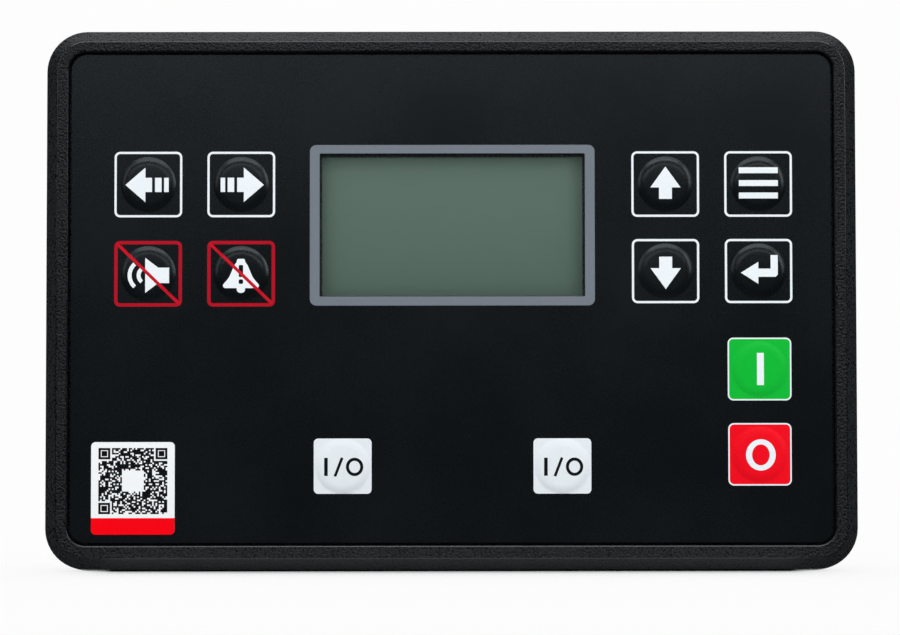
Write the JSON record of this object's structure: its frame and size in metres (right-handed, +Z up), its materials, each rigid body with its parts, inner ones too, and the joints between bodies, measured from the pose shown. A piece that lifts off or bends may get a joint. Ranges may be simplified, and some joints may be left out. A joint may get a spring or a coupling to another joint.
{
  "type": "genset controller",
  "caption": "Panel-mounted generating-set controller: black chamfered bezel, recessed overlay with embossed keys, display window, and a stepped rear housing with pluggable terminals.",
  "frame": {"origin": "centre of the panel cut-out, in the plane of the panel's front face", "axes": "+X to the right seen from the front, +Y back into the panel, +Z up"},
  "size_m": [0.1858, 0.06, 0.1238],
  "materials": {
    "bezel": "black moulded plastic, sanded spark texture",
    "overlay": "black satin polyester film",
    "label": "white vinyl label",
    "window": "clear polished acrylic",
    "gasket": "closed-cell foam rubber",
    "key": "moulded plastic",
    "plunger": "moulded plastic",
    "switch": "moulded plastic",
    "lcd_frame": "black coated steel sheet",
    "lcd_glass": "grey-green display glass",
    "backlight": "white light guide",
    "board": "green solder mask on fibreglass board",
    "connector": "black moulded nylon",
    "spacer": "natural nylon",
    "standoff": "turned brass",
    "screw": "zinc-plated steel",
    "cell": "nickel-plated steel",
    "housing": "black moulded plastic",
    "cover": "black moulded plastic",
    "terminal": "green moulded nylon",
    "plug": "green moulded nylon",
    "pin": "tinned brass",
    "socket_shell": "nickel-plated steel sheet"
  },
  "bodies": {
    "controller": {"front_bezel": "bezel", "overlay_film": "overlay", "guide_label": "label", "display_window": "window", "gasket": "gasket", "switch_bodies": "switch", "lcd_frame": "lcd_frame", "lcd_glass": "lcd_glass", "lcd_backlight": "backlight", "lcd_board": "board", "lcd_header": "connector", "lcd_spacers": "spacer", "front_board": "board", "main_board": "board", "link_header": "connector", "link_socket": "connector", "board_standoffs": "standoff", "board_screws": "screw", "coin_cell": "cell", "cell_holder": "connector", "rear_housing": "housing", "housing_screws": "screw", "module_cover_a": "cover", "module_cover_b": "cover", "header_a": "terminal", "header_b": "terminal", "header_c": "terminal", "header_d": "terminal", "plug_a": "plug", "plug_b": "plug", "plug_c": "plug", "plug_d": "plug", "header_pins": "pin", "terminal_screws": "screw", "usb_shell": "socket_shell", "usb_tongue": "connector"},
    "button_prev": {"key_prev": "key", "plunger_prev": "plunger"},
    "button_next": {"key_next": "key", "plunger_next": "plunger"},
    "button_horn": {"key_horn": "key", "plunger_horn": "plunger"},
    "button_fault": {"key_fault": "key", "plunger_fault": "plunger"},
    "button_up": {"key_up": "key", "plunger_up": "plunger"},
    "button_menu": {"key_menu": "key", "plunger_menu": "plunger"},
    "button_down": {"key_down": "key", "plunger_down": "plunger"},
    "button_enter": {"key_enter": "key", "plunger_enter": "plunger"},
    "button_start": {"key_start": "key", "plunger_start": "plunger"},
    "button_stop": {"key_stop": "key", "plunger_stop": "plunger"},
    "button_breaker_a": {"key_breaker_a": "key", "plunger_breaker_a": "plunger"},
    "button_breaker_b": {"key_breaker_b": "key", "plunger_breaker_b": "plunger"}
  },
  "joints": [
    {"name": "press_prev", "type": "slide", "parent": "controller", "child": "button_prev", "axis": [0, 1, 0], "range_m": [0, 0.00035], "stiffness_N_per_m": 3000},
    {"name": "press_next", "type": "slide", "parent": "controller", "child": "button_next", "axis": [0, 1, 0], "range_m": [0, 0.00035], "stiffness_N_per_m": 3000},
    {"name": "press_horn", "type": "slide", "parent": "controller", "child": "button_horn", "axis": [0, 1, 0], "range_m": [0, 0.00035], "stiffness_N_per_m": 3000},
    {"name": "press_fault", "type": "slide", "parent": "controller", "child": "button_fault", "axis": [0, 1, 0], "range_m": [0, 0.00035], "stiffness_N_per_m": 3000},
    {"name": "press_up", "type": "slide", "parent": "controller", "child": "button_up", "axis": [0, 1, 0], "range_m": [0, 0.00035], "stiffness_N_per_m": 3000},
    {"name": "press_menu", "type": "slide", "parent": "controller", "child": "button_menu", "axis": [0, 1, 0], "range_m": [0, 0.00035], "stiffness_N_per_m": 3000},
    {"name": "press_down", "type": "slide", "parent": "controller", "child": "button_down", "axis": [0, 1, 0], "range_m": [0, 0.00035], "stiffness_N_per_m": 3000},
    {"name": "press_enter", "type": "slide", "parent": "controller", "child": "button_enter", "axis": [0, 1, 0], "range_m": [0, 0.00035], "stiffness_N_per_m": 3000},
    {"name": "press_start", "type": "slide", "parent": "controller", "child": "button_start", "axis": [0, 1, 0], "range_m": [0, 0.00035], "stiffness_N_per_m": 3000},
    {"name": "press_stop", "type": "slide", "parent": "controller", "child": "button_stop", "axis": [0, 1, 0], "range_m": [0, 0.00035], "stiffness_N_per_m": 3000},
    {"name": "press_breaker_a", "type": "slide", "parent": "controller", "child": "button_breaker_a", "axis": [0, 1, 0], "range_m": [0, 0.00035], "stiffness_N_per_m": 3000},
    {"name": "press_breaker_b", "type": "slide", "parent": "controller", "child": "button_breaker_b", "axis": [0, 1, 0], "range_m": [0, 0.00035], "stiffness_N_per_m": 3000}
  ]
}
